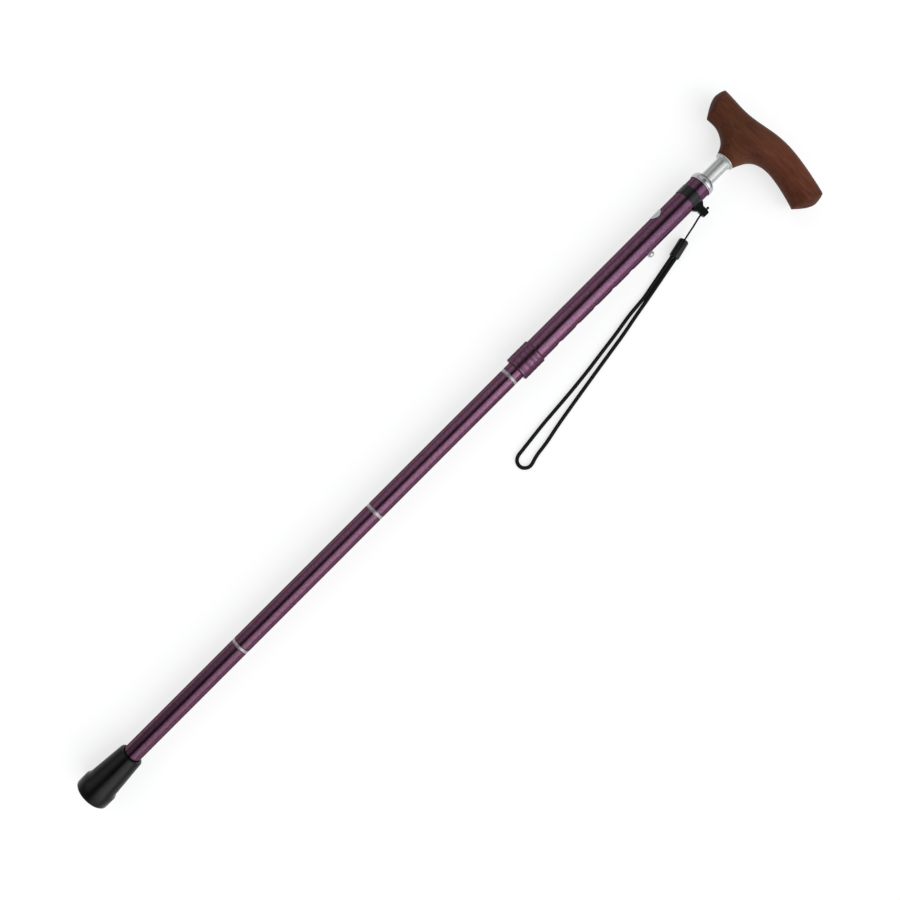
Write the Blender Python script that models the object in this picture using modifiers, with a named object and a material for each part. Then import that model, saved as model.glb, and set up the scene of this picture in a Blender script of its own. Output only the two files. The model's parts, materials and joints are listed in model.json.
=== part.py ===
"""A folding walking cane with a wooden handle and a wrist strap, lying on its side.

Lengths are in metres, +Z is up and z = 0 is the floor. The shaft runs along +X from the rubber tip
to the handle, and the handle lies along Y. Places along the shaft are stations, counted from the
sole of the rubber tip. The origin is under the middle of the cane's box, without its strap.
"""

import math

import bmesh
import bpy
from mathutils import Vector

# Finish of the model
STEPS = 32  # sides of the shaft's turned pieces
FINE_STEPS = 20  # sides of small turned pieces
CORD_STEPS = 12  # sides of the elastic cord and of knots
HOLE_SIDES = 16  # sides of holes and pins
CLEARANCE = 0.0003  # between pieces that touch or slide

# Tubes
TUBE_RADIUS = 0.0079  # the folding sections and the inner tube
TUBE_WALL = 0.0012
SLIDE_GAP = 0.0004  # between the inner tube and the upper tube
UPPER_RADIUS = TUBE_RADIUS + SLIDE_GAP + TUBE_WALL
SECTION_PITCH = 0.150  # from one joint ring to the next
LOWEST_RING = 0.1668  # station of the ring nearest to the tip
RING_WIDTH = 0.0026
INNER_SHOWN = 0.0067  # of the inner tube, between the top ring and the lock collar
INNER_LENGTH = 0.1800
HEADROOM = 0.0112  # in the upper tube, between the guide bush and the plug

# Height adjustment
HOLE_PITCH = 0.020
HOLE_COUNT = 6
FIRST_HOLE = 0.0184  # from the lock collar to the lowest hole
BUTTON_RADIUS = 0.0029
BUTTON_PLAY = 0.0004  # round it, in its holes
BUTTON_PROUD = 0.0036  # above the upper tube
BUTTON_DOME = 0.0026  # height of its rounded end
RIVET_RADIUS = 0.0012
RIVET_HEAD_RADIUS = 0.0022
RIVET_HEAD = 0.0006
CLIP_WIDTH = 0.0070
CLIP_GAUGE = 0.0005
CLIP_REACH = 0.0140  # of its arms past the button, towards the tip
CLIP_FLAT = 0.0060  # of its arms past the button, towards the bend
CLIP_BACK = 0.0280  # from the button to the bend
CLIP_BEND = 0.0016  # radius of the bend
BUSH_RIM = 0.0020
BUSH_SHANK = 0.0050
BUSH_WALL = 0.0012
BUSH_PROUD = 0.0001  # of the rim, past the inner tube

# Lock collar and its thread
COLLAR_LENGTH = 0.0214
COLLAR_WALL = 0.00135
COLLAR_CHAMFER = 0.0010
COLLAR_LIP = 0.0026
THREAD_RELIEF = 0.0004  # of its crests, under the upper tube's surface
THREAD_DEPTH = 0.00025
THREAD_PITCH = 0.0015
THREAD_TURNS = 5
WEDGE_LENGTH = 0.0041
WEDGE_TAPER = 0.0005  # of its radius at the tip
SLIT_WIDTH = 0.0012
SLIT_LENGTH = 0.0085

# Folding joints
INSERT_HELD = 0.025  # of a connector, in the section below its ring
INSERT_FREE = 0.038  # and in the one above
INSERT_WALL = 0.0020
INSERT_LEAD = 0.0012  # taper at its free end
CORD_RADIUS = 0.0020  # the elastic inside the shaft
KNOT_RADIUS = 0.0032
ANCHOR_POCKET = 0.0038  # radius of the room for a knot
TOP_ANCHOR_INSET = 0.0410  # of the upper plug's foot, below the button
TOP_ANCHOR_LENGTH = 0.0180
TOP_ANCHOR_FLOOR = 0.0060
ANCHOR_PIN_RADIUS = 0.00125
ANCHOR_PIN_INSET = 0.0040
FOOT_ANCHOR_FLANGE = 0.0012
FOOT_ANCHOR_SHANK = 0.0140
FOOT_ANCHOR_POCKET = 0.0070

# Rubber tip
TIP_HEIGHT = 0.0453
TIP_RADIUS = 0.0150
TIP_FOOT = 0.0106  # height of the straight foot
TIP_STEP = 0.0027  # height of the step above the foot
TIP_WAIST_RADIUS = 0.0135
TIP_WALL = 0.0025  # round the tube, at the top
TIP_ROUND = 0.0016  # of the edge round the sole
TIP_RIM_ROUND = 0.0012
SOLE = 0.0060
GROOVE_DEPTH = 0.0010
GROOVE_WIDTH = 0.0012
GROOVE_RADII = (0.0072, 0.0104)  # inner edges of the rings in the sole
WASHER = 0.0012
WASHER_HOLE = 0.0040

# Head of the shaft
CAP_WALL = 0.0005
CAP_EDGE = 0.0002
CAP_SKIRT = 0.0030
CAP_DOME = 0.0045
CAP_TOP = 0.0070
NECK_RADIUS = 0.0058
NECK_LENGTH = 0.0207
CUP_RADIUS = 0.0082
CUP_HEIGHT = 0.0032
STUD_RADIUS = 0.0040
STUD_IN_HANDLE = 0.0270
PLUG_LENGTH = 0.0210
PLUG_PIN_RADIUS = 0.0015
PLUG_PIN_INSET = 0.0050  # from the plug's lower end to its pin
STUD_IN_PLUG = 0.0130

# Wooden handle, from the middle of its face on the cup: inner edge, outer edge, half thickness
ARM = (
    ((0.0136, 0.0335), (0.0388, 0.0394), 0.0108),
    ((0.0143, 0.0290), (0.0386, 0.0325), 0.0120),
    ((0.0145, 0.0220), (0.0376, 0.0214), 0.0128),
    ((0.0102, 0.0140), (0.0376, 0.0110), 0.0140),
    ((0.0075, -0.0015), (0.0398, -0.0015), 0.0149),
    ((0.0152, -0.0155), (0.0422, -0.0140), 0.0149),
    ((0.0192, -0.0270), (0.0429, -0.0270), 0.0142),
    ((0.0175, -0.0410), (0.0417, -0.0410), 0.0132),
    ((0.0144, -0.0535), (0.0393, -0.0550), 0.0126),
    ((0.0118, -0.0620), (0.0362, -0.0700), 0.0120),
    ((0.0108, -0.0642), (0.0352, -0.0730), 0.0112),
)
NOSE_CROWN = (0.0305, 0.0478)  # middle of the rounded end faces' cages
HEEL_CROWN = (0.0240, -0.0810)
HANDLE_REACH = 0.0427  # of the wood past the cup, for the middle of the whole cane
NECK_RINGS = (3, 4, 5)  # the places in ARM that the neck grows out of
NECK_FLARE = (0.0062, 0.0108)  # distance from the cup and radius where the neck widens
CAGE_SPREAD = 1.108  # the smoothed surface lies this much inside its cage
CAGE_CORNER = 1.03  # fullness of the cross-section

# Strap
BAND_PLACE = 0.0124  # from the band's middle to the cap
BAND_WIDTH = 0.0086
BAND_GAP = 0.0001
BAND_WALL = 0.0003
LUG = (  # distance out from the tube, and half the width along it
    (-0.0005, 0.0056),
    (0.0004, 0.0056),
    (0.0016, 0.0046),
    (0.0034, 0.0031),
    (0.0082, 0.0031),
    (0.0098, 0.0026),
    (0.0104, 0.0020),
)
LUG_THICKNESS = 0.0032
EYE_OUT = 0.0072  # from the tube to the hole for the string
EYE_RADIUS = 0.0011
STRING_RADIUS = 0.0008
STRING_KNOT_RADIUS = 0.0011
BEAD_RADIUS = 0.0043
BEAD_ROUND = 0.0014
BEAD_TOP = (-0.0231, -0.0218)  # place and side of its two ends
BEAD_FOOT = (-0.0392, -0.0255)
BEAD_LIFT = 0.0001  # off the floor
BRAID_RADIUS = 0.0015
STRAND_GAP = 0.0001  # between the loop's two strands at the bead
STRING_ROUTE = (  # place from the band's middle, side, and height over the floor
    (-0.0063, -0.0172, 0.0143),
    (-0.0119, -0.0189, 0.0108),
    (-0.0174, -0.0203, 0.0073),
)
LOOP_ROUTE = (  # the braided cord, from the bead round the loop and back
    (-0.0434, -0.0248, 0.0037),
    (-0.0546, -0.0271, 0.0019),
    (-0.0660, -0.0293, 0.0017),
    (-0.0776, -0.0315, 0.0017),
    (-0.0850, -0.0322, 0.0017),
    (-0.0974, -0.0334, 0.0017),
    (-0.1150, -0.0362, 0.0017),
    (-0.1330, -0.0386, 0.0017),
    (-0.1509, -0.0410, 0.0017),
    (-0.1695, -0.0430, 0.0017),
    (-0.1885, -0.0446, 0.0017),
    (-0.2074, -0.0461, 0.0017),
    (-0.2244, -0.0480, 0.0017),
    (-0.2338, -0.0491, 0.0017),
    (-0.2385, -0.0497, 0.0017),
    (-0.2419, -0.0513, 0.0017),
    (-0.2438, -0.0540, 0.0017),
    (-0.2441, -0.0572, 0.0017),
    (-0.2428, -0.0600, 0.0017),
    (-0.2399, -0.0621, 0.0017),
    (-0.2364, -0.0624, 0.0017),
    (-0.2310, -0.0609, 0.0017),
    (-0.2258, -0.0598, 0.0017),
    (-0.2155, -0.0584, 0.0017),
    (-0.1985, -0.0550, 0.0017),
    (-0.1810, -0.0520, 0.0017),
    (-0.1633, -0.0491, 0.0017),
    (-0.1459, -0.0463, 0.0017),
    (-0.1282, -0.0435, 0.0017),
    (-0.1106, -0.0407, 0.0017),
    (-0.0933, -0.0374, 0.0017),
    (-0.0844, -0.0358, 0.0017),
    (-0.0770, -0.0345, 0.0017),
    (-0.0654, -0.0323, 0.0017),
    (-0.0540, -0.0301, 0.0019),
    (-0.0428, -0.0278, 0.0037),
)
ROUTE_STEP = 0.0064
STRING_STEP = 0.0024

# Blank round label
LABEL_SHARE = 0.3629  # of the way from the button to the cap
LABEL_LENGTH = 0.0104
LABEL_GAUGE = 0.0002
LABEL_GAP = 0.0002
LABEL_TILT = 17  # degrees above level

# The origin is under the middle of the box round the cane, without its strap
BOX_MIDDLE_SIDE = -0.0164

# Stations and radii that follow from the sizes above
RINGS = [LOWEST_RING + i * SECTION_PITCH for i in range(3)]
RING_HALF = RING_WIDTH / 2 + CLEARANCE
COLLAR_FOOT = RINGS[2] + RING_WIDTH / 2 + INNER_SHOWN
COLLAR_HEAD = COLLAR_FOOT + COLLAR_LENGTH
WEDGE_FOOT = COLLAR_FOOT + COLLAR_LIP + CLEARANCE
UPPER_FOOT = WEDGE_FOOT + WEDGE_LENGTH + CLEARANCE
SHOULDER = COLLAR_HEAD + CLEARANCE
HOLES = [COLLAR_HEAD + FIRST_HOLE + i * HOLE_PITCH for i in range(HOLE_COUNT)]
BUTTON = HOLES[-1]
INNER_FOOT = RINGS[2] + RING_HALF
INNER_HEAD = INNER_FOOT + INNER_LENGTH
TOP_ANCHOR = BUTTON - TOP_ANCHOR_INSET
BUSH_TOP = INNER_HEAD + CLEARANCE + BUSH_RIM
PLUG_FOOT = BUSH_TOP + HEADROOM
UPPER_HEAD = PLUG_FOOT + PLUG_LENGTH
CAP_FOOT = UPPER_HEAD - CAP_SKIRT
NECK_FOOT = CAP_FOOT + CAP_TOP + CLEARANCE
NECK_HEAD = NECK_FOOT + NECK_LENGTH
HANDLE_FACE = NECK_HEAD + CLEARANCE
BAND = CAP_FOOT - BAND_PLACE
LABEL = BUTTON + LABEL_SHARE * (CAP_FOOT - BUTTON)
BOX_MIDDLE_STATION = (HANDLE_FACE + HANDLE_REACH) / 2
WASHER_FOOT = SOLE + CLEARANCE
ANCHOR_FOOT = WASHER_FOOT + WASHER + CLEARANCE
SHAFT_FOOT = ANCHOR_FOOT + FOOT_ANCHOR_FLANGE + CLEARANCE
TUBE_BORE = TUBE_RADIUS - TUBE_WALL
UPPER_BORE = UPPER_RADIUS - TUBE_WALL
INSIDE_TUBE = TUBE_BORE - CLEARANCE  # radius of what fits in a tube
ROUND_TUBE = TUBE_RADIUS + CLEARANCE  # bore of what fits round a tube
TIP_TOP_RADIUS = ROUND_TUBE + TIP_WALL
THREAD_RADIUS = UPPER_RADIUS - THREAD_RELIEF
COLLAR_RADIUS = THREAD_RADIUS + CLEARANCE + COLLAR_WALL
WEDGE_TIP_RADIUS = THREAD_RADIUS - WEDGE_TAPER
CAP_RADIUS = UPPER_RADIUS + CLEARANCE + CAP_WALL
AXIS_HEIGHT = TIP_RADIUS  # the cane lies on the edge of its tip
HOLE_RADIUS = BUTTON_RADIUS + BUTTON_PLAY
BUTTON_TOP = UPPER_RADIUS + BUTTON_PROUD


def clear_scene():
    for obj in list(bpy.data.objects):
        bpy.data.objects.remove(obj, do_unlink=True)


def new_collection(name):
    made = bpy.data.collections.new(name)
    bpy.context.scene.collection.children.link(made)
    return made


clear_scene()
PIECES = new_collection("walking_cane")
CUTTERS = new_collection("cutters")


def finish(name, colour, roughness, metallic=0.0):
    look = bpy.data.materials.new(name)
    look.use_nodes = True
    shader = look.node_tree.nodes["Principled BSDF"]
    shader.inputs["Base Color"].default_value = (*colour, 1)
    shader.inputs["Roughness"].default_value = roughness
    shader.inputs["Metallic"].default_value = metallic
    look.diffuse_color = (*colour, 1)
    return look


def empty_at(name, station, parent=None):
    """An empty on the shaft's axis, at a station. What it carries moves with it."""
    empty = bpy.data.objects.new(name, None)
    empty.empty_display_size = 0.02
    empty["station"] = station
    if parent:
        empty.parent = parent
        empty.location.x = station - parent["station"]
    PIECES.objects.link(empty)
    return empty


def seat(obj, body, station, side=0.0, height=0.0):
    """Hang a piece on a body's empty, at a station and off the shaft's axis."""
    obj.parent = body
    obj.location = (station - body["station"], side, height)
    return obj


def add(name, mesh, look):
    obj = bpy.data.objects.new(name, mesh)
    obj.data.materials.clear()
    obj.data.materials.append(look)
    PIECES.objects.link(obj)
    return obj


def smooth(mesh, angle=35):
    mesh.shade_smooth()
    mesh.set_sharp_from_angle(angle=math.radians(angle))


def baked(obj):
    """The object's mesh with its modifiers applied. The object itself is removed."""
    bpy.context.view_layer.update()
    shown = obj.evaluated_get(bpy.context.evaluated_depsgraph_get())
    mesh = bpy.data.meshes.new_from_object(shown)
    bpy.data.objects.remove(obj)
    return mesh


def revolved(outline, steps):
    """A mesh turned round local Z from (height, radius) points.

    The outline runs down the outer side, then up the bore. One that starts and ends on the axis
    makes a solid piece, and any other is closed into a ring.
    """
    profile = bpy.data.meshes.new("profile")
    bm = bmesh.new()
    points = [bm.verts.new((radius, 0, height)) for height, radius in outline]
    for above, below in zip(points, points[1:]):
        bm.edges.new((above, below))
    if outline[0][1] > 0:
        bm.edges.new((points[-1], points[0]))
    bm.to_mesh(profile)
    bm.free()
    obj = bpy.data.objects.new("profile", profile)
    PIECES.objects.link(obj)
    screw = obj.modifiers.new("Turn", "SCREW")
    screw.steps = steps
    screw.render_steps = steps
    screw.use_merge_vertices = True
    screw.merge_threshold = 0.00001
    mesh = baked(obj)
    smooth(mesh)
    return mesh


def turned(name, outline, station, body, look, steps=STEPS):
    """A piece turned round the shaft's axis, with its heights counted from a station."""
    obj = add(name, revolved(outline, steps), look)
    obj.rotation_euler.y = math.pi / 2
    return seat(obj, body, station)


def tube_outline(length, outer, bore):
    return [(length, outer), (0, outer), (0, bore), (length, bore)]


def shoulder(top, height, flat, depth, degrees):
    """Outline points down a rounded shoulder round a flat top, by their angle from its top."""
    angles = [math.radians(each) for each in degrees]
    return [(top - height * (1 - math.cos(a)), flat + depth * math.sin(a)) for a in angles]


def cut(obj, cutter, operation="DIFFERENCE"):
    boolean = obj.modifiers.new(cutter.name, "BOOLEAN")
    boolean.operation = operation
    boolean.solver = "EXACT"
    boolean.object = cutter


def as_cutter(obj, name):
    obj.name = name
    obj.display_type = "WIRE"
    obj.hide_render = True
    for held in list(obj.users_collection):
        held.objects.unlink(obj)
    CUTTERS.objects.link(obj)
    return obj


def rod(name, radius, low, high, axis, sides=HOLE_SIDES):
    """A cylinder along X, Y or Z, from low to high on that axis of its own."""
    bm = bmesh.new()
    bmesh.ops.create_cone(
        bm, cap_ends=True, segments=sides, radius1=radius, radius2=radius, depth=high - low
    )
    bmesh.ops.translate(bm, vec=(0, 0, (high + low) / 2), verts=bm.verts)
    mesh = bpy.data.meshes.new(name)
    bm.to_mesh(mesh)
    bm.free()
    turn = {"X": Vector((0, 1, 0)), "Y": Vector((-1, 0, 0)), "Z": Vector((0, 0, 0))}[axis]
    obj = bpy.data.objects.new(name, mesh)
    obj.rotation_euler = turn * (math.pi / 2)
    PIECES.objects.link(obj)
    return obj


def block(name, size):
    bm = bmesh.new()
    bmesh.ops.create_cube(bm, size=1)
    bmesh.ops.scale(bm, vec=size, verts=bm.verts)
    mesh = bpy.data.meshes.new(name)
    bm.to_mesh(mesh)
    bm.free()
    obj = bpy.data.objects.new(name, mesh)
    PIECES.objects.link(obj)
    return obj


def slab(name, outline, thickness):
    """A flat outline in the XY plane, as thick as given along Z."""
    curve = bpy.data.curves.new(name, "CURVE")
    curve.dimensions = "2D"
    curve.fill_mode = "BOTH"
    curve.extrude = thickness / 2
    spline = curve.splines.new("POLY")
    spline.points.add(len(outline) - 1)
    for point, (x, y) in zip(spline.points, outline):
        point.co = (x, y, 0, 1)
    spline.use_cyclic_u = True
    obj = bpy.data.objects.new(name, curve)
    PIECES.objects.link(obj)
    mesh = baked(obj)
    bm = bmesh.new()
    bm.from_mesh(mesh)
    bmesh.ops.remove_doubles(bm, verts=bm.verts, dist=0.00001)
    bmesh.ops.recalc_face_normals(bm, faces=bm.faces)
    bm.to_mesh(mesh)
    bm.free()
    return mesh


def along(points, step):
    """Points a step apart on a smooth curve through the given ones."""
    points = [Vector(point) for point in points]
    ends = [2 * points[0] - points[1], *points, 2 * points[-1] - points[-2]]
    fine = [points[0]]
    for before, start, stop, after in zip(ends, ends[1:], ends[2:], ends[3:]):
        for i in range(1, 17):
            t = i / 16
            fine.append(
                0.5
                * (
                    2 * start
                    + (stop - before) * t
                    + (2 * before - 5 * start + 4 * stop - after) * t**2
                    + (3 * start - before - 3 * stop + after) * t**3
                )
            )
    lengths = [(b - a).length for a, b in zip(fine, fine[1:])]
    count = round(sum(lengths) / step)
    spacing = sum(lengths) / count
    kept = [fine[0]]
    walked = 0.0
    for length, start, stop in zip(lengths, fine, fine[1:]):
        while len(kept) < count and walked + length >= len(kept) * spacing:
            share = (len(kept) * spacing - walked) / length
            kept.append(start.lerp(stop, share))
        walked += length
    kept.append(fine[-1])
    return kept


def cord(name, points, radius, body, look):
    """A round cord through points given as place along the body, side and height over the floor."""
    curve = bpy.data.curves.new(name, "CURVE")
    curve.dimensions = "3D"
    curve.bevel_depth = radius
    curve.bevel_resolution = 2
    curve.use_fill_caps = True
    spline = curve.splines.new("POLY")
    spline.points.add(len(points) - 1)
    for point, (place, side, height) in zip(spline.points, points):
        point.co = (place, side, height - AXIS_HEIGHT, 1)
    curve.materials.append(look)
    obj = bpy.data.objects.new(name, curve)
    obj.parent = body
    PIECES.objects.link(obj)
    return obj


def rubber_tip(body, look):
    """The rubber foot: a grooved sole, a straight foot, a step and a tapered socket."""
    rim = shoulder(
        TIP_HEIGHT, TIP_RIM_ROUND, TIP_TOP_RADIUS - TIP_RIM_ROUND, TIP_RIM_ROUND, (0, 45, 90)
    )
    edge = shoulder(0, -TIP_ROUND, TIP_RADIUS - TIP_ROUND, TIP_ROUND, (90, 60, 30, 0))
    outline = [
        (SOLE, 0),
        (SOLE, ROUND_TUBE),
        (TIP_HEIGHT, ROUND_TUBE),
        *rim,
        (TIP_FOOT + TIP_STEP, TIP_WAIST_RADIUS),
        (TIP_FOOT, TIP_RADIUS),
        *edge,
    ]
    for inner in reversed(GROOVE_RADII):
        outline += [
            (0, inner + GROOVE_WIDTH),
            (GROOVE_DEPTH, inner + GROOVE_WIDTH),
            (GROOVE_DEPTH, inner),
            (0, inner),
        ]
    outline.append((0, 0))
    turned("rubber_tip", outline, 0, body, look)


def tip_washer(body, look):
    """A steel disc in the socket, which keeps the tube from cutting through the sole."""
    outline = tube_outline(WASHER, TUBE_RADIUS, WASHER_HOLE)
    turned("tip_washer", outline, WASHER_FOOT, body, look, FINE_STEPS)


def foot_anchor(body, look):
    """A flanged plug in the lowest tube, with a pocket below for the elastic cord's knot."""
    shank_foot = FOOT_ANCHOR_FLANGE + CLEARANCE
    height = shank_foot + FOOT_ANCHOR_SHANK
    outline = [
        (height, INSIDE_TUBE),
        (shank_foot, INSIDE_TUBE),
        (shank_foot - CLEARANCE, TUBE_RADIUS),
        (0, TUBE_RADIUS),
        (0, ANCHOR_POCKET),
        (FOOT_ANCHOR_POCKET, ANCHOR_POCKET),
        (FOOT_ANCHOR_POCKET, CORD_RADIUS + CLEARANCE),
        (height, CORD_RADIUS + CLEARANCE),
    ]
    turned("foot_anchor", outline, ANCHOR_FOOT, body, look, FINE_STEPS)


def section(number, low, high, body, look):
    length = high - low
    outline = tube_outline(length, TUBE_RADIUS, TUBE_BORE)
    turned(f"tube_section_{number}", outline, low, body, look)


def folding_joint(number, ring, body, plain, bright):
    """A connector pressed into the section below, and the bright ring between the two tubes."""
    bore = INSIDE_TUBE - INSERT_WALL
    low = ring - RING_HALF - INSERT_HELD
    length = INSERT_HELD + INSERT_FREE + 2 * RING_HALF
    outline = [
        (length, INSIDE_TUBE - INSERT_LEAD / 2),
        (length - INSERT_LEAD, INSIDE_TUBE),
        (0, INSIDE_TUBE),
        (0, bore),
        (length, bore),
    ]
    turned(f"connector_{number}", outline, low, body, plain)
    band = tube_outline(RING_WIDTH, TUBE_RADIUS, INSIDE_TUBE + CLEARANCE)
    turned(f"joint_ring_{number}", band, ring - RING_WIDTH / 2, body, bright)


def elastic_cord(body, look):
    """The elastic that pulls the sections together, with a knot at each end."""
    low = ANCHOR_FOOT + FOOT_ANCHOR_POCKET - CLEARANCE
    high = TOP_ANCHOR + TOP_ANCHOR_FLOOR + CLEARANCE
    length = high - low
    head = length + 2 * KNOT_RADIUS
    knot = shoulder(head, KNOT_RADIUS, 0, KNOT_RADIUS, (0, 30, 60, 90, 120))
    outline = [*knot, (length, CORD_RADIUS), (0, CORD_RADIUS)]
    outline += [(length - height, radius) for height, radius in reversed(knot)]
    turned("elastic_cord", outline, low, body, look, CORD_STEPS)


def inner_tube(body, look):
    """The top section, which slides in the upper tube, with holes for the button and a pin."""
    outline = tube_outline(INNER_LENGTH, TUBE_RADIUS, TUBE_BORE)
    obj = turned("inner_tube", outline, INNER_FOOT, body, look)
    hole = rod("button_hole", HOLE_RADIUS, -UPPER_RADIUS, -TUBE_BORE / 2, "Y")
    cut(obj, as_cutter(seat(hole, body, BUTTON), "button_hole"))
    pin = rod("pin_hole", ANCHOR_PIN_RADIUS + CLEARANCE, -UPPER_RADIUS, UPPER_RADIUS, "Z")
    place = TOP_ANCHOR + TOP_ANCHOR_LENGTH - ANCHOR_PIN_INSET
    cut(obj, as_cutter(seat(pin, body, place), "pin_hole"))


def guide_bush(body, look):
    """The plastic end of the inner tube, which runs in the upper tube."""
    shank_bore = INSIDE_TUBE - BUSH_WALL
    foot = INNER_HEAD - BUSH_SHANK
    rim_top = BUSH_TOP - foot
    outline = [
        (rim_top, TUBE_RADIUS + BUSH_PROUD),
        (BUSH_SHANK + CLEARANCE, TUBE_RADIUS + BUSH_PROUD),
        (BUSH_SHANK, INSIDE_TUBE),
        (0, INSIDE_TUBE),
        (0, shank_bore),
        (rim_top, shank_bore),
    ]
    turned("guide_bush", outline, foot, body, look, FINE_STEPS)


def top_anchor(body, plastic, steel):
    """The plug that the elastic cord is tied in, and the pin that holds it in the inner tube."""
    outline = [
        (TOP_ANCHOR_LENGTH, INSIDE_TUBE),
        (0, INSIDE_TUBE),
        (0, CORD_RADIUS + CLEARANCE),
        (TOP_ANCHOR_FLOOR, CORD_RADIUS + CLEARANCE),
        (TOP_ANCHOR_FLOOR, ANCHOR_POCKET),
        (TOP_ANCHOR_LENGTH, ANCHOR_POCKET),
    ]
    obj = turned("top_anchor", outline, TOP_ANCHOR, body, plastic, FINE_STEPS)
    place = TOP_ANCHOR + TOP_ANCHOR_LENGTH - ANCHOR_PIN_INSET
    hole = rod("anchor_hole", ANCHOR_PIN_RADIUS + CLEARANCE, -UPPER_RADIUS, UPPER_RADIUS, "Z")
    cut(obj, as_cutter(seat(hole, body, place), "anchor_hole"))
    half = TUBE_RADIUS - CLEARANCE
    pin = rod("anchor_pin", ANCHOR_PIN_RADIUS, -half, half, "Z")
    pin.data.materials.append(steel)
    smooth(pin.data)
    seat(pin, body, place)


def snap_clip(body, look):
    """A spring of bent strip: its arms press on the tube's walls, and one carries the button."""
    arm = clip_arm()
    bend = CLIP_BACK - CLIP_BEND
    path = [(-CLIP_REACH, -arm), (CLIP_FLAT, -arm), (bend, -CLIP_BEND)]
    for degrees in (-60, -30, 0, 30, 60):
        angle = math.radians(degrees)
        path.append((bend + CLIP_BEND * math.cos(angle), CLIP_BEND * math.sin(angle)))
    path += [(bend, CLIP_BEND), (CLIP_FLAT, arm), (-CLIP_REACH, arm)]
    bm = bmesh.new()
    rows = []
    for x, y in path:
        edge = [bm.verts.new((x, y, z)) for z in (-CLIP_WIDTH / 2, CLIP_WIDTH / 2)]
        rows.append(edge)
    for (a, b), (c, d) in zip(rows, rows[1:]):
        bm.faces.new((a, c, d, b))
    strip = bpy.data.meshes.new("strip")
    bm.to_mesh(strip)
    bm.free()
    obj = bpy.data.objects.new("strip", strip)
    PIECES.objects.link(obj)
    shell = obj.modifiers.new("Gauge", "SOLIDIFY")
    shell.thickness = CLIP_GAUGE
    shell.offset = 0
    shell.use_even_offset = True
    mesh = baked(obj)
    smooth(mesh)
    clip = seat(add("snap_clip", mesh, look), body, BUTTON)
    hole = rod("rivet_hole", RIVET_RADIUS + CLEARANCE, -UPPER_RADIUS, -TUBE_BORE / 2, "Y")
    cut(clip, as_cutter(seat(hole, body, BUTTON), "rivet_hole"))


def clip_arm():
    """How far the middle of a clip arm lies from the shaft's axis: its corners touch the tube."""
    return math.sqrt(INSIDE_TUBE**2 - (CLIP_WIDTH / 2) ** 2) - CLIP_GAUGE / 2


def snap_button(body, look):
    """The domed button, with the rivet that goes through the clip's arm."""
    outer_face = clip_arm() + CLIP_GAUGE / 2 + CLEARANCE
    inner_face = clip_arm() - CLIP_GAUGE / 2 - CLEARANCE
    dome = shoulder(BUTTON_TOP, BUTTON_DOME, 0, BUTTON_RADIUS, (0, 18, 36, 54, 72, 90))
    outline = [
        *dome,
        (outer_face, BUTTON_RADIUS),
        (outer_face, RIVET_RADIUS),
        (inner_face, RIVET_RADIUS),
        (inner_face, RIVET_HEAD_RADIUS),
        (inner_face - RIVET_HEAD, RIVET_HEAD_RADIUS),
        (inner_face - RIVET_HEAD, 0),
    ]
    obj = add("snap_button", revolved(outline, FINE_STEPS), look)
    obj.rotation_euler.x = math.pi / 2
    seat(obj, body, BUTTON)


def upper_tube(body, look):
    """The outer tube: a slit thread at its foot, a row of holes, and a pin hole at its head."""
    length = UPPER_HEAD - UPPER_FOOT
    outline = [(length, UPPER_RADIUS), (SHOULDER - UPPER_FOOT, UPPER_RADIUS)]
    root = THREAD_RADIUS - THREAD_DEPTH
    outline.append((SHOULDER - UPPER_FOOT, root))
    for turn in reversed(range(THREAD_TURNS)):
        crest = (turn + 1) * THREAD_PITCH
        outline += [(crest, THREAD_RADIUS), (crest - THREAD_PITCH / 2, root)]
    outline += [(0, root), (0, UPPER_BORE), (length, UPPER_BORE)]
    obj = turned("upper_tube", outline, UPPER_FOOT, body, look)
    for number, station in enumerate(HOLES, 1):
        hole = rod("hole", HOLE_RADIUS, -2 * UPPER_RADIUS, -UPPER_BORE / 2, "Y")
        cut(obj, as_cutter(seat(hole, body, station), f"height_hole_{number}"))
    for name, across in (("slit_level", (1, 0)), ("slit_upright", (0, 1))):
        wide, tall = (2.5 * UPPER_RADIUS * a + SLIT_WIDTH * (1 - a) for a in across)
        slit = block(name, (2 * SLIT_LENGTH, wide, tall))
        cut(obj, as_cutter(seat(slit, body, UPPER_FOOT), name))
    pin = rod("pin", PLUG_PIN_RADIUS + CLEARANCE, -2 * UPPER_RADIUS, 2 * UPPER_RADIUS, "Z")
    cut(obj, as_cutter(seat(pin, body, PLUG_FOOT + PLUG_PIN_INSET), "upper_pin_hole"))


def lock_collar(body, look):
    """The collar that is turned to tighten the wedge on the inner tube."""
    bore = THREAD_RADIUS + CLEARANCE
    rim = COLLAR_RADIUS - COLLAR_CHAMFER / 2
    outline = [
        (COLLAR_LENGTH, rim),
        (COLLAR_LENGTH - COLLAR_CHAMFER, COLLAR_RADIUS),
        (COLLAR_CHAMFER, COLLAR_RADIUS),
        (0, rim),
        (0, ROUND_TUBE),
        (COLLAR_LIP, ROUND_TUBE),
        (COLLAR_LIP, bore),
        (COLLAR_LENGTH, bore),
    ]
    turned("lock_collar", outline, COLLAR_FOOT, body, look)


def wedge_ring(body, look):
    """The nylon ring that the collar presses between the slit thread and the inner tube."""
    outline = [
        (WEDGE_LENGTH, WEDGE_TIP_RADIUS),
        (WEDGE_LENGTH / 2, THREAD_RADIUS),
        (0, THREAD_RADIUS),
        (0, ROUND_TUBE),
        (WEDGE_LENGTH, ROUND_TUBE),
    ]
    turned("wedge_ring", outline, WEDGE_FOOT, body, look)


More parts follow.
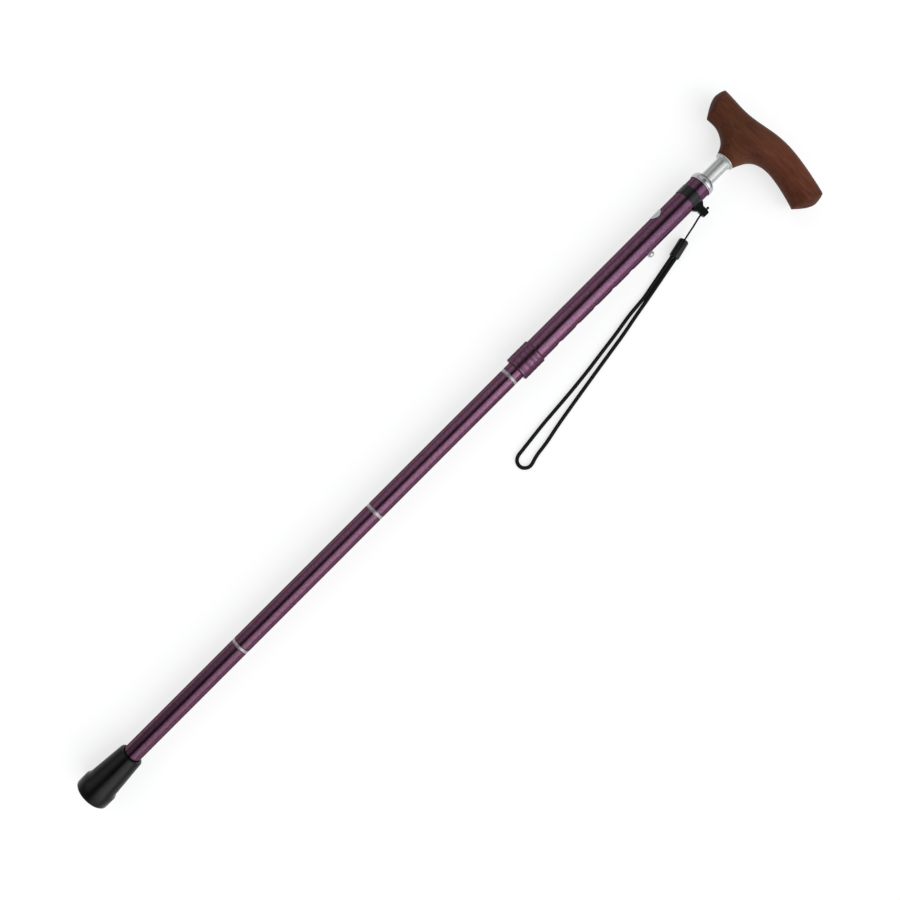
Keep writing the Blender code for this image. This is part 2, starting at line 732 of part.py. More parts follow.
def head_of_shaft(body, chrome, metal, steel):
    """The cap, the neck with its cup, and what screws the handle to the upper tube."""
    bore = STUD_RADIUS + CLEARANCE
    inside_cap = UPPER_RADIUS + CLEARANCE
    skirt = CAP_SKIRT + CLEARANCE
    dome = shoulder(
        CAP_TOP, CAP_DOME, NECK_RADIUS, CAP_RADIUS - NECK_RADIUS, (0, 18, 36, 54, 72, 90)
    )
    cap = [
        *dome,
        (CAP_EDGE, CAP_RADIUS),
        (0, CAP_RADIUS - CAP_EDGE),
        (0, inside_cap),
        (skirt, inside_cap),
        (skirt, bore),
        (CAP_TOP, bore),
    ]
    turned("neck_cap", cap, CAP_FOOT, body, chrome)
    neck = [
        (NECK_LENGTH, CUP_RADIUS),
        (NECK_LENGTH - CUP_HEIGHT / 4, CUP_RADIUS),
        (NECK_LENGTH - CUP_HEIGHT / 2, (CUP_RADIUS + NECK_RADIUS) / 2),
        (NECK_LENGTH - CUP_HEIGHT, NECK_RADIUS),
        (0, NECK_RADIUS),
        (0, bore),
        (NECK_LENGTH, bore),
    ]
    turned("neck_cup", neck, NECK_FOOT, body, chrome)
    plug = turned(
        "tube_plug",
        tube_outline(PLUG_LENGTH, UPPER_BORE - CLEARANCE, bore),
        PLUG_FOOT,
        body,
        metal,
        FINE_STEPS,
    )
    place = PLUG_FOOT + PLUG_PIN_INSET
    hole = rod("pin", PLUG_PIN_RADIUS + CLEARANCE, -2 * UPPER_RADIUS, 2 * UPPER_RADIUS, "Z")
    cut(plug, as_cutter(seat(hole, body, place), "plug_pin_hole"))
    half = UPPER_RADIUS - CLEARANCE
    pin = rod("plug_pin", PLUG_PIN_RADIUS, -half, half, "Z")
    pin.data.materials.append(steel)
    smooth(pin.data)
    seat(pin, body, place)
    low = UPPER_HEAD - STUD_IN_PLUG
    length = HANDLE_FACE + STUD_IN_HANDLE - low
    stud = [(length, 0), (length, STUD_RADIUS), (0, STUD_RADIUS), (0, 0)]
    turned("handle_stud", stud, low, body, steel, FINE_STEPS)


def handle_cage():
    """A coarse cage of the handle: eight-sided rings along the arm, with the neck grown out."""
    bm = bmesh.new()
    rings = []
    for inner, outer, half_thickness in ARM:
        inner = Vector((*inner, 0))
        outer = Vector((*outer, 0))
        middle = (inner + outer) / 2
        ring = []
        for i in range(8):
            angle = math.radians(180 - 45 * i)
            spread = CAGE_SPREAD * (CAGE_CORNER if i % 2 else 1)
            point = middle + (outer - middle) * math.cos(angle) * spread
            point.z = half_thickness * math.sin(angle) * spread
            ring.append(bm.verts.new(point))
        rings.append(ring)
    first, _, last = NECK_RINGS
    for i, (here, there) in enumerate(zip(rings, rings[1:])):
        for k in range(8):
            if not (first <= i < last and k in (0, 7)):
                bm.faces.new((here[k], there[k], there[(k + 1) % 8], here[(k + 1) % 8]))
    root = [
        rings[first][0],
        rings[first][1],
        rings[first + 1][1],
        rings[last][1],
        rings[last][0],
        rings[last][7],
        rings[first + 1][7],
        rings[first][7],
    ]
    bm.verts.remove(rings[first + 1][0])
    previous = root
    for reach, radius in (NECK_FLARE, (0, CUP_RADIUS)):
        ring = []
        for i in range(8):
            angle = math.radians(45 * i)
            across = radius * CAGE_SPREAD
            ring.append(
                bm.verts.new((reach, across * math.cos(angle), across * math.sin(angle)))
            )
        for k in range(8):
            bm.faces.new((previous[k], previous[(k + 1) % 8], ring[(k + 1) % 8], ring[k]))
        previous = ring
    nose = bm.verts.new((*NOSE_CROWN, 0))
    heel = bm.verts.new((*HEEL_CROWN, 0))
    face = bm.verts.new((0, 0, 0))
    crease = bm.edges.layers.float.new("crease_edge")
    for ring, middle, sharpness in ((rings[0], nose, 0.8), (rings[-1], heel, 0.8), (previous, face, 1)):
        for k in range(0, 8, 2):
            bm.faces.new((middle, ring[k], ring[k + 1], ring[(k + 2) % 8]))
        for k in range(8):
            edge = bm.edges.get((ring[k], ring[(k + 1) % 8]))
            edge[crease] = sharpness
            edge.smooth = sharpness < 1
    bmesh.ops.recalc_face_normals(bm, faces=bm.faces)
    for each in bm.faces:
        each.smooth = True
    mesh = bpy.data.meshes.new("handle")
    bm.to_mesh(mesh)
    bm.free()
    return mesh


def handle(body, look):
    """The wooden handle: a short nose, a long arm, and a neck on the cup with a bore for the stud."""
    obj = seat(add("handle", handle_cage(), look), body, HANDLE_FACE)
    soft = obj.modifiers.new("Round", "SUBSURF")
    soft.levels = 2
    soft.render_levels = 2
    depth = STUD_IN_HANDLE + CLEARANCE
    hole = rod("stud_bore", STUD_RADIUS + CLEARANCE, -depth, depth, "X", FINE_STEPS)
    cut(obj, as_cutter(seat(hole, body, HANDLE_FACE), "stud_bore"))


def strap_ring(body, look):
    """A moulded band round the upper tube, with a foot and a stem that has an eye."""
    bore_radius = UPPER_RADIUS + BAND_GAP
    outer = bore_radius + BAND_WALL
    outline = [(BAND_WIDTH, 0), (BAND_WIDTH, outer), (0, outer), (0, 0)]
    obj = turned("strap_ring", outline, BAND - BAND_WIDTH / 2, body, look)
    right = [(half, -UPPER_RADIUS - out) for out, half in LUG]
    left = [(-x, y) for x, y in reversed(right)]
    lug = bpy.data.objects.new("lug", slab("lug", right + left, LUG_THICKNESS))
    PIECES.objects.link(lug)
    cut(obj, as_cutter(seat(lug, body, BAND), "lug"), "UNION")
    bore = rod("band_bore", bore_radius, -BAND_WIDTH, BAND_WIDTH, "X", STEPS)
    cut(obj, as_cutter(seat(bore, body, BAND), "band_bore"))
    eye = rod("eye", EYE_RADIUS, -BAND_WIDTH, BAND_WIDTH, "X")
    cut(obj, as_cutter(seat(eye, body, BAND, -UPPER_RADIUS - EYE_OUT), "eye"))


def string(body, look):
    """The thin string through the eye, from its knot to the bead."""
    side = -UPPER_RADIUS - EYE_OUT
    stem = max(half for out, half in LUG if out >= EYE_OUT) + CLEARANCE
    bead = Vector((*BEAD_TOP, BEAD_RADIUS + BEAD_LIFT))
    leave = (bead - Vector((*BEAD_FOOT, bead.z))).normalized() * CLEARANCE
    eye = [(x, side, AXIS_HEIGHT) for x in (stem, 0, -stem)]
    route = along([*eye, *STRING_ROUTE, bead + leave], STRING_STEP)
    cord("strap_string", route, STRING_RADIUS, body, look)
    head = 2 * STRING_KNOT_RADIUS
    degrees = (0, 30, 60, 90, 120, 150, 180)
    knot = shoulder(head, STRING_KNOT_RADIUS, 0, STRING_KNOT_RADIUS, degrees)
    turned("string_knot", knot, BAND + stem + CLEARANCE, body, look, CORD_STEPS).location.y = side


def bead_and_loop(body, bead_look, braid_look):
    """The barrel bead and the braided wrist loop, which leaves its foot and comes back to it."""
    top = Vector((*BEAD_TOP, BEAD_RADIUS + BEAD_LIFT))
    foot = Vector((*BEAD_FOOT, BEAD_RADIUS + BEAD_LIFT))
    length = (top - foot).length
    flat = BEAD_RADIUS - BEAD_ROUND
    head = shoulder(length, BEAD_ROUND, flat, BEAD_ROUND, (0, 30, 60, 90))
    tail = [(length - height, radius) for height, radius in reversed(head)]
    bead = add("strap_bead", revolved([(length, 0), *head, *tail, (0, 0)], FINE_STEPS), bead_look)
    bead.rotation_mode = "QUATERNION"
    bead.rotation_quaternion = (top - foot).to_track_quat("Z", "Y")
    seat(bead, body, BAND + foot.x, foot.y, foot.z - AXIS_HEIGHT)
    down = (foot - top).normalized()
    across = Vector((-down.y, down.x, 0)) * (BRAID_RADIUS + STRAND_GAP / 2)
    leave = foot + down * CLEARANCE
    route = along([leave - across, *LOOP_ROUTE, leave + across], ROUTE_STEP)
    cord("wrist_loop", route, BRAID_RADIUS, body, braid_look)


def blank_label(body, look):
    """A round sticker with nothing on it, wrapped on the side of the upper tube."""
    inner = UPPER_RADIUS + LABEL_GAP
    outline = tube_outline(1.2 * LABEL_LENGTH, inner + LABEL_GAUGE, inner)
    obj = turned("blank_label", outline, LABEL - outline[0][0] / 2, body, look)
    shape = rod("label_shape", LABEL_LENGTH / 2, 0, 2 * UPPER_RADIUS, "Z", STEPS)
    shape.rotation_euler.x = math.radians(LABEL_TILT - 90)
    cut(obj, as_cutter(seat(shape, body, LABEL), "label_shape"), "INTERSECT")


def build():
    lacquer = finish("purple lacquer", (0.20, 0.075, 0.15), 0.3, 0.8)
    rubber = finish("black rubber", (0.02, 0.02, 0.022), 0.6)
    wood = finish("reddish brown wood", (0.12, 0.04, 0.025), 0.35)
    chrome = finish("chrome", (0.75, 0.76, 0.78), 0.12, 1.0)
    steel = finish("bright steel", (0.6, 0.6, 0.62), 0.3, 1.0)
    metal = finish("plain aluminium", (0.65, 0.65, 0.66), 0.4, 1.0)
    nylon = finish("natural nylon", (0.75, 0.73, 0.68), 0.5)
    plastic = finish("black plastic", (0.02, 0.02, 0.022), 0.35)
    elastic = finish("white elastic", (0.7, 0.7, 0.68), 0.8)
    braid = finish("black braid", (0.012, 0.012, 0.013), 0.85)
    blank = finish("silver paper", (0.75, 0.75, 0.75), 0.4)

    cane = empty_at("cane", 0.0)
    cane.location = (-BOX_MIDDLE_STATION, -BOX_MIDDLE_SIDE, AXIS_HEIGHT)
    strap = empty_at("strap", BAND, cane)
    wedge = empty_at("wedge_travel", COLLAR_FOOT, cane)
    collar = empty_at("collar_turn", COLLAR_FOOT, wedge)
    inner = empty_at("height_slide", INNER_FOOT, cane)
    button = empty_at("button_press", BUTTON, inner)
    second = empty_at("fold_pull_1", RINGS[2], inner)
    third = empty_at("fold_pull_2", RINGS[1], second)
    fourth = empty_at("fold_pull_3", RINGS[0], third)

    rubber_tip(fourth, rubber)
    tip_washer(fourth, steel)
    foot_anchor(fourth, plastic)
    elastic_cord(fourth, elastic)
    section(4, SHAFT_FOOT, RINGS[0] - RING_HALF, fourth, lacquer)
    section(3, RINGS[0] + RING_HALF, RINGS[1] - RING_HALF, third, lacquer)
    section(2, RINGS[1] + RING_HALF, RINGS[2] - RING_HALF, second, lacquer)
    for number, (station, body) in enumerate(zip(reversed(RINGS), (second, third, fourth)), 1):
        folding_joint(number, station, body, metal, steel)
    inner_tube(inner, lacquer)
    guide_bush(inner, nylon)
    top_anchor(inner, plastic, steel)
    snap_clip(inner, steel)
    snap_button(button, chrome)
    upper_tube(cane, lacquer)
    lock_collar(collar, lacquer)
    wedge_ring(wedge, nylon)
    head_of_shaft(cane, chrome, metal, steel)
    handle(cane, wood)
    strap_ring(strap, plastic)
    string(strap, braid)
    bead_and_loop(strap, plastic, braid)
    blank_label(cane, blank)


build()
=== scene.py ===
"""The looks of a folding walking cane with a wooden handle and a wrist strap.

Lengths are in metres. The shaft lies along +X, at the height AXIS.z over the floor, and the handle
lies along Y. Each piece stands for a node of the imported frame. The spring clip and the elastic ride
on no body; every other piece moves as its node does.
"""

import json
import math

import bmesh
import bpy
from mathutils import Matrix, Vector

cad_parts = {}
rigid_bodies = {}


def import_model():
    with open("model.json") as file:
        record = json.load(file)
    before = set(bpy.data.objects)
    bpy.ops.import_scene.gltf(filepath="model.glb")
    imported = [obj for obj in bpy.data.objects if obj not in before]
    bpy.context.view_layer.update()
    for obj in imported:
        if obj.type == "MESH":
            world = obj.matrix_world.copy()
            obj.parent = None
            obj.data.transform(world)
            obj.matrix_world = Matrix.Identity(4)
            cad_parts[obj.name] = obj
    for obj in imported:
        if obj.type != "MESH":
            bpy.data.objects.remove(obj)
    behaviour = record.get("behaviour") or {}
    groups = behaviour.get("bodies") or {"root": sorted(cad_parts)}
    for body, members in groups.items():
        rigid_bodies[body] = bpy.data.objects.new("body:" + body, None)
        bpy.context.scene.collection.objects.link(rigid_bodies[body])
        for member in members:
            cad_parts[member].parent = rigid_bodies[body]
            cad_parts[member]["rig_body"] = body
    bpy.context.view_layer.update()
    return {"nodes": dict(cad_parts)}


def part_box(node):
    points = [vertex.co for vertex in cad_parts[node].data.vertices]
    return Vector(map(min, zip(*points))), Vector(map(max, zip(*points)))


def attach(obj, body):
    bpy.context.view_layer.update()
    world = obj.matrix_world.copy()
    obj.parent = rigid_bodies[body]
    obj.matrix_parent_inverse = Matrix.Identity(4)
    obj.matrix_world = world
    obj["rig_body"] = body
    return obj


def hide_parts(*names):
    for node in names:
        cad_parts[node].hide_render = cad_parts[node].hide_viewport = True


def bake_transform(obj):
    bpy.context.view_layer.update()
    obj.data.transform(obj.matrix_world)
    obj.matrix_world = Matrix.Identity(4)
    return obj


# The shaft
AXIS = Vector((0, 0.0164, 0.015))  # its middle line
TUBE_WALL = 0.0012
END_DROP = 0.0002  # height of the bevel at the ends of a section or a joint ring
SECTION_BEVEL = 0.0002  # its length on a section
RING_BEVEL = 0.0003  # its length on a joint ring
TIP_EDGE = 0.0002  # rounding of the rubber tip's edges
ELASTIC_RADIUS = 0.0020
KNOT_END = 0.0003  # radius of the flat at the end of its knots

# The lock collar and the cap, with forms as (place along the shaft, depth under the outside) points
COLLAR_END = ((0, 0.0006), (0.0003, 0.0002), (0.0009, 0))  # place from the nearest end
COLLAR_GROOVES = (0.0176, 0.0140, 0.0094, 0.0030)  # middles of the grooves, from the foot
GROOVE = ((0.0005, 0), (0.0002, 0.00015), (-0.0002, 0.00015), (-0.0005, 0))  # place from its middle
COLLAR_BORE = 0.0094
COLLAR_LIP = 0.0026  # length of the narrower bore at the foot
COLLAR_LIP_BORE = 0.0082
CAP_LIP = ((0.0017, 0), (0.0014, 0.0002), (0.0011, 0), (0.0002, 0), (0, 0.0002))  # from the foot
CAP_BAND = 0.0025  # the straight part of the cap, under its dome
CAP_BORE = 0.0098
CAP_SKIRT = 0.0033  # depth of that bore
NECK_RADIUS = 0.0058
STUD_BORE = 0.0043

# The strap, which shares its places and sizes with the frame. A place is measured along the shaft
# from the middle of the strap's band, to the side from the shaft's middle line, and up from the floor.
STRAP = 0.29205  # where the middle of the band is
EYE = (0.0, -0.0167, 0.015)
BEAD_TOP = (-0.0231, -0.0218, 0.0044)
BEAD_FOOT = (-0.0392, -0.0255, 0.0044)
BRAID_RADIUS = 0.0015
BRAID_LOFT = 0.0001  # how far the braid's ridges stand over that radius
UNDER_HEIGHT = 0.6  # of a braid's strand that passes under, as a share of one that passes over
STRAND_GAP = 0.0001  # between the loop's two strands at the bead
LOOP_START = 0.0003  # from the bead's foot to the loop's ends
STRING_RADIUS = 0.0008
STRING_ROUTE = (
    (0.0050, -0.0167, 0.0150),
    (0.0034, -0.0167, 0.0150),
    EYE,
    (-0.0034, -0.0167, 0.0150),
    (-0.0063, -0.0172, 0.0143),
    (-0.0119, -0.0189, 0.0108),
    (-0.0174, -0.0203, 0.0073),
    (-0.0226, -0.0217, 0.0045),
    (-0.0262, -0.0225, 0.0044),
)
LOOP_ROUTE = (
    (-0.0434, -0.0248, 0.0037),
    (-0.0546, -0.0271, 0.0019),
    (-0.0660, -0.0293, 0.0017),
    (-0.0776, -0.0315, 0.0017),
    (-0.0850, -0.0322, 0.0017),
    (-0.0974, -0.0334, 0.0017),
    (-0.1150, -0.0362, 0.0017),
    (-0.1330, -0.0386, 0.0017),
    (-0.1509, -0.0410, 0.0017),
    (-0.1695, -0.0430, 0.0017),
    (-0.1885, -0.0446, 0.0017),
    (-0.2074, -0.0461, 0.0017),
    (-0.2244, -0.0480, 0.0017),
    (-0.2338, -0.0491, 0.0017),
    (-0.2385, -0.0497, 0.0017),
    (-0.2419, -0.0513, 0.0017),
    (-0.2438, -0.0540, 0.0017),
    (-0.2441, -0.0572, 0.0017),
    (-0.2428, -0.0600, 0.0017),
    (-0.2399, -0.0621, 0.0017),
    (-0.2364, -0.0624, 0.0017),
    (-0.2310, -0.0609, 0.0017),
    (-0.2258, -0.0598, 0.0017),
    (-0.2155, -0.0584, 0.0017),
    (-0.1985, -0.0550, 0.0017),
    (-0.1810, -0.0520, 0.0017),
    (-0.1633, -0.0491, 0.0017),
    (-0.1459, -0.0463, 0.0017),
    (-0.1282, -0.0435, 0.0017),
    (-0.1106, -0.0407, 0.0017),
    (-0.0933, -0.0374, 0.0017),
    (-0.0844, -0.0358, 0.0017),
    (-0.0770, -0.0345, 0.0017),
    (-0.0654, -0.0323, 0.0017),
    (-0.0540, -0.0301, 0.0019),
    (-0.0428, -0.0278, 0.0037),
)

# How finely shapes are made, and how a node's mesh is cleaned
TURNED_SIDES = 64  # faces round a turned piece
DOME_STEPS = 12
CURVE_STEPS = 32  # between two points of a route
LOOP_STEP = 0.0004  # lengths of the short pieces that the cords are swept from
STRING_STEP = 0.0002
ELASTIC_STEP = 0.0009
WELD = 0.000005  # points nearer than this become one
FLAT_ANGLE = math.radians(1)  # faces that turn less than this become one
BEVEL_ANGLE = math.radians(40)  # edges that turn more than this are rounded off
WALL_MATCH = 0.97  # least cosine between a face and the radius on a tube's round wall

# The view from straight above, with the shaft at 45 degrees
CAMERA_PLACE = (0.01755, 0.0086, 0.829)
CAMERA_TURN = -45.01
CAMERA_LENS = 41.2  # millimetres, before a sensor of 36

# The painted light and shade on the handle, which change between these places along Y
LIGHT_AND_SHADE_SPAN = (-0.06, 0.06)

# The floor and the sky. A direction in the sky is told by its parts along X, Y and Z, and each
# ramp is a list of (share of the way, brightness or colour).
FLOOR_SIZE = 60
FLOOR_GREY = 0.42
FLOOR_LIFT = 0.69  # glow that brings the floor to white where it is seen
SKY_STRENGTH = 3.8
PLAIN_SKY = 0.16  # brightness near the horizon and past the shaft's ends
PAST_ENDS = (0.5, 0.85)  # from where it starts to where it is reached, along X
NEAR_HORIZON = (0.25, 0.05)  # the same along Z
SKY_ROUND = (  # from the horizon on the -Y side, over the shaft, to the horizon on the +Y side
    (0.00, 0.26),
    (0.06, 0.42),
    (0.13, 0.74),
    (0.21, 0.84),
    (0.29, 0.70),
    (0.38, 0.54),
    (0.43, 0.22),
    (0.47, 0.02),
    (0.54, 0.01),
    (0.60, 0.08),
    (0.68, 0.23),
    (0.76, 0.28),
    (0.85, 0.25),
    (0.92, 0.12),
    (1.00, 0.02),
)
SIDES_MEET = (0.46, 0.56)  # shares of that way between which one side gives way to the other
SHAFT_SPAN = (-0.5, 0.5)  # where the two ramps along the shaft start and end, along X
BRIGHT_SIDE = (  # from the tip's end to the handle's end, on the -Y side
    (0.10, 0.44),
    (0.32, 0.84),
    (0.53, 0.82),
    (0.65, (1.29, 1.30, 1.32)),
    (0.70, (1.12, 1.14, 1.17)),
    (0.76, (0.70, 0.75, 0.79)),
    (0.82, (0.44, 0.48, 0.51)),
)
DIM_SIDE = (  # the same on the +Y side
    (0.10, 0.25),
    (0.32, 1.0),
    (0.53, 1.08),
    (0.65, 1.14),
    (0.76, 0.96),
    (0.82, 0.78),
)

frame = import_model()
NODES = frame["nodes"]


# Shader helpers


def add_node(tree, kind, inputs=None, **settings):
    """A shader node. An input is a value, or another node's output to link."""
    made = tree.nodes.new(kind)
    for key, value in settings.items():
        setattr(made, key, value)
    for key, value in (inputs or {}).items():
        if isinstance(value, bpy.types.NodeSocket):
            tree.links.new(value, made.inputs[key])
        else:
            made.inputs[key].default_value = value
    return made


def maths(tree, operation, *values):
    """The result of a maths node on one or two values."""
    return add_node(tree, "ShaderNodeMath", dict(enumerate(values)), operation=operation).outputs[0]


def share_of(tree, value, low, high, interpolation="LINEAR"):
    """A value's share of the way from low to high, held between 0 and 1."""
    inputs = {"Value": value, "From Min": low, "From Max": high}
    return add_node(tree, "ShaderNodeMapRange", inputs, interpolation_type=interpolation).outputs[0]


def place_on(tree, kind):
    """Where a point is: in the piece's own space for Object, or in the sky for Generated."""
    return add_node(tree, "ShaderNodeTexCoord").outputs[kind]


def grain(tree, stretch, detail=4.0, roughness=0.6):
    """A noise from 0 to 1 in the piece's own space, with its own fineness along X, Y and Z."""
    spread = add_node(tree, "ShaderNodeMapping", {"Vector": place_on(tree, "Object"), "Scale": stretch})
    inputs = {"Vector": spread.outputs[0], "Scale": 1.0, "Detail": detail, "Roughness": roughness}
    return add_node(tree, "ShaderNodeTexNoise", inputs).outputs["Fac"]


def ramp(tree, factor, stops, interpolation="LINEAR"):
    """A colour for each place between 0 and 1. A stop's colour is one grey or three parts."""
    made = add_node(tree, "ShaderNodeValToRGB", {"Fac": factor})
    made.color_ramp.interpolation = interpolation
    elements = made.color_ramp.elements
    while len(elements) < len(stops):
        elements.new(0.5)
    for element, (place, colour) in zip(elements, stops):
        element.position = place
        parts = colour if isinstance(colour, tuple) else (colour,) * 3
        element.color = (*parts, 1)
    return made.outputs["Color"]


def varied(tree, noise, low, high):
    """What follows a noise from low to high."""
    return ramp(tree, noise, ((0.3, low), (0.7, high)))


def blended(tree, factor, first, second, how="MIX"):
    """Two colours joined, by a factor from 0 to 1."""
    inputs = {"Factor": factor, 6: first, 7: second}
    return add_node(tree, "ShaderNodeMix", inputs, data_type="RGBA", blend_type=how).outputs[2]


def product(tree, first, second):
    return blended(tree, 1.0, first, second, "MULTIPLY")


def new_look(name, uniform):
    """A material, its nodes and its shader, with what is the same all over it on the sockets."""
    look = bpy.data.materials.new(name)
    look.use_nodes = True
    shader = look.node_tree.nodes["Principled BSDF"]
    for socket, value in uniform.items():
        shader.inputs[socket].default_value = value
    return look, look.node_tree, shader


def wire(tree, shader, colour, roughness, relief=None, depth=0.0):
    """Joins what varies over a surface to its shader. A depth of 0 leaves it without relief."""
    tree.links.new(colour, shader.inputs["Base Color"])
    tree.links.new(roughness, shader.inputs["Roughness"])
    if depth:
        inputs = {"Height": relief, "Distance": depth, "Strength": 1.0}
        bump = add_node(tree, "ShaderNodeBump", inputs)
        tree.links.new(bump.outputs["Normal"], shader.inputs["Normal"])


# Materials, whose colours and roughness are pairs between which they vary


def lacquer():
    """Purple metallic paint with fine streaks along the tube, under a clear coat."""
    uniform = {
        "Metallic": 1.0,
        "Coat Weight": 0.3,
        "Coat Roughness": 0.05,
        "Specular Tint": (0.28, 0.14, 0.21, 1),
    }
    look, tree, shader = new_look("purple lacquer", uniform)
    streaks = grain(tree, (25, 900, 900))
    flakes = grain(tree, (480, 760, 760), roughness=0.7)
    colour = ramp(tree, flakes, ((0.35, (0.076, 0.028, 0.057)), (0.65, (0.146, 0.060, 0.109))))
    wire(tree, shader, colour, varied(tree, streaks, 0.18, 0.28))
    return look


def wood():
    """Stained wood with grain along the handle, painted light and shade that change along it, and a
    satin varnish.
    """
    look, tree, shader = new_look("stained wood", {"Specular IOR Level": 0.15, "IOR": 1.35})
    tones = ((0.3, (0.084, 0.022, 0.014)), (0.5, (0.132, 0.041, 0.021)), (0.72, (0.162, 0.058, 0.029)))
    patches = ramp(tree, grain(tree, (55, 22, 55), detail=3), tones)
    fibres = grain(tree, (900, 30, 900), detail=5, roughness=0.65)
    streaks = ramp(tree, fibres, ((0.35, 0.66), (0.6, 1.0)))
    side = add_node(tree, "ShaderNodeSeparateXYZ", {0: place_on(tree, "Object")}).outputs["Y"]
    along_handle = share_of(tree, side, *LIGHT_AND_SHADE_SPAN)
    # Painted light and shade: brighter on the -Y arm, where the handle faces the light, and darker
    # towards the nose at +Y
    painted_light_and_shade = ramp(tree, along_handle, ((0.0, 0.85), (0.2, 1.2), (0.45, 1.05), (0.7, 0.8), (1.0, 0.9)))
    colour = product(tree, product(tree, patches, streaks), painted_light_and_shade)
    wire(tree, shader, colour, varied(tree, fibres, 0.62, 0.48), relief=fibres, depth=0.00005)
    return look


def metal(name, colours, roughness, stretch=(6000, 120, 120), detail=4, depth=0.00002):
    """Bright metal with the marks of its making, which run round the shaft unless stretch differs."""
    look, tree, shader = new_look(name, {"Metallic": 1.0})
    marks = grain(tree, stretch, detail)
    colour = varied(tree, marks, *colours)
    wire(tree, shader, colour, varied(tree, marks, *roughness), relief=marks, depth=depth)
    return look


def moulded(name, colours, roughness, shine=0.5):
    """Plastic or rubber with a fine moulded grain and faint cloudy patches."""
    look, tree, shader = new_look(name, {"Specular IOR Level": shine})
    skin = grain(tree, (1500, 1500, 1500), detail=3)
    cloud = grain(tree, (90, 90, 90), detail=2)
    colour = varied(tree, cloud, *colours)
    wire(tree, shader, colour, varied(tree, cloud, *roughness), relief=skin, depth=0.00003)
    return look


def yarn(name, colours):
    """Spun yarn: fine fibres that break up the colour."""
    look, tree, shader = new_look(name, {"Specular IOR Level": 0.12})
    fibres = grain(tree, (2600, 2600, 2600), roughness=0.7)
    colour = varied(tree, fibres, *colours)
    wire(tree, shader, colour, varied(tree, fibres, 0.65, 0.85), relief=fibres, depth=0.00008)
    return look


# Geometry helpers


def shown(mesh, look, node, rides=True):
    """A mesh as the piece that stands for a node. One that bends between two bodies rides on none."""
    piece = bpy.data.objects.new(mesh.name, mesh)
    bpy.context.scene.collection.objects.link(piece)
    mesh.materials.append(look)
    if rides:
        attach(piece, NODES[node]["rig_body"])
    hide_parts(node)
    return piece


def smooth_mesh(name, bm, sharp=180):
    """A smooth-shaded mesh that stays crisp at edges that turn more than sharp, in degrees."""
    mesh = bpy.data.meshes.new(name)
    bm.to_mesh(mesh)
    bm.free()
    mesh.shade_smooth()
    mesh.set_sharp_from_angle(angle=math.radians(sharp))
    return mesh


def softened(node, look, sharp=35, rides=True):
    """A smooth-shaded piece on a node's own points."""
    bm = bmesh.new()
    bm.from_mesh(NODES[node].data)
    bmesh.ops.remove_doubles(bm, verts=bm.verts, dist=WELD)
    bmesh.ops.dissolve_limit(
        bm, angle_limit=FLAT_ANGLE, use_dissolve_boundaries=False, verts=bm.verts, edges=bm.edges
    )
    return shown(smooth_mesh(node + "_look", bm, sharp), look, node, rides)


def round_edges(piece, width):
    """Rounds off the sharp edges of a piece."""
    rounding = piece.modifiers.new("Soft edges", "BEVEL")
    rounding.width = width
    rounding.segments = 2
    rounding.limit_method = "ANGLE"
    rounding.angle_limit = BEVEL_ANGLE


def shade_round(tube):
    """Shades a tube's wall square to its axis, also between and beside its holes."""
    mesh = tube.data
    normals = [corner.vector.copy() for corner in mesh.corner_normals]
    for face in mesh.polygons:
        for corner in face.loop_indices:
            point = mesh.vertices[mesh.loops[corner].vertex_index].co
            outward = Vector((0, point.y - AXIS.y, point.z - AXIS.z)).normalized()
            turn = outward.dot(face.normal)
            if abs(turn) > WALL_MATCH:
                normals[corner] = math.copysign(1, turn) * outward
    mesh.normals_split_custom_set(normals)


def round_size(node):
    """A round node's length and its outer radius."""
    low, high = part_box(node)
    return high.x - low.x, (high.y - low.y) / 2


def bridge(bm, rings):
    """Faces from each ring of points to the next."""
    sides = len(rings[0])
    for here, there in zip(rings, rings[1:]):
        for i in range(sides):
            j = (i + 1) % sides
            bm.faces.new((here[i], here[j], there[j], there[i]))


def turned(node, outline, look):
    """A piece turned round the shaft, from (place from the node's foot, radius) points."""
    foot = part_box(node)[0].x
    bm = bmesh.new()
    rings = []
    for place, radius in outline:
        ring = []
        for i in range(TURNED_SIDES):
            angle = 2 * math.pi * i / TURNED_SIDES
            offset = Vector((0, math.cos(angle), math.sin(angle))) * radius
            ring.append(bm.verts.new(AXIS + offset + Vector((foot + place, 0, 0))))
        rings.append(ring)
    bridge(bm, rings + rings[:1])
    bmesh.ops.recalc_face_normals(bm, faces=bm.faces)
    shown(smooth_mesh(node + "_look", bm, sharp=40), look, node)


def curve_point(before, start, stop, after, share):
    """A point of the smooth curve from start to stop, which the points before and after shape."""
    first = (stop - before) * share
    second = (2 * before - 5 * start + 4 * stop - after) * share**2
    third = (3 * start - before - 3 * stop + after) * share**3
    return 0.5 * (2 * start + first + second + third)


def along(points, step):
    """Points about a step apart on a smooth curve through the given ones."""
    points = [Vector(point) for point in points]
    ends = [2 * points[0] - points[1], *points, 2 * points[-1] - points[-2]]
    fine = [points[0]]
    for before, start, stop, after in zip(ends, ends[1:], ends[2:], ends[3:]):
        for i in range(1, CURVE_STEPS + 1):
            fine.append(curve_point(before, start, stop, after, i / CURVE_STEPS))
    lengths = [(b - a).length for a, b in zip(fine, fine[1:])]
    count = round(sum(lengths) / step)
    spacing = sum(lengths) / count
    kept = [fine[0]]
    walked = 0.0
    for length, start, stop in zip(lengths, fine, fine[1:]):
        while len(kept) < count and walked + length >= len(kept) * spacing:
            kept.append(start.lerp(stop, (len(kept) * spacing - walked) / length))
        walked += length
    kept.append(fine[-1])
    return kept


